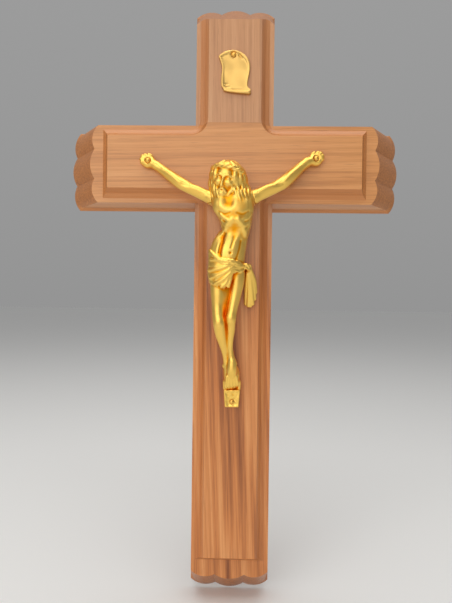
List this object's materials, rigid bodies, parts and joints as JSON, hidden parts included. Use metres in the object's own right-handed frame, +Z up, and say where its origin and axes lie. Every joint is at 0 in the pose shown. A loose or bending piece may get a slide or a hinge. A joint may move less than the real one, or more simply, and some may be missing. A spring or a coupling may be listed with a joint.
{
  "type": "wall crucifix",
  "caption": "Wall crucifix: half-lapped walnut cross with a raised panel and lobed, flared ends, a gilt cast figure nailed on, a bare scroll plate and a keyhole hanger.",
  "frame": {"origin": "middle of the keyhole hanger's round entry, on the back plane", "axes": "+Z up along the upright, +X to the viewer's right, the front faces -Y, the back lies in y = 0"},
  "size_m": [0.1826, 0.0419, 0.326],
  "materials": {
    "walnut": "satin lacquer",
    "gilt": "polished gilt",
    "plated_steel": "zinc plated"
  },
  "bodies": {
    "root": {"upright": "walnut", "crossbar": "walnut", "figure_body": "gilt", "figure_right_arm": "gilt", "figure_left_arm": "gilt", "scroll_plate": "gilt", "scroll_nail": "gilt", "right_hand_nail": "gilt", "left_hand_nail": "gilt", "foot_nail": "gilt", "hanger_plate": "plated_steel", "hanger_screws": "plated_steel"}
  },
  "joints": []
}
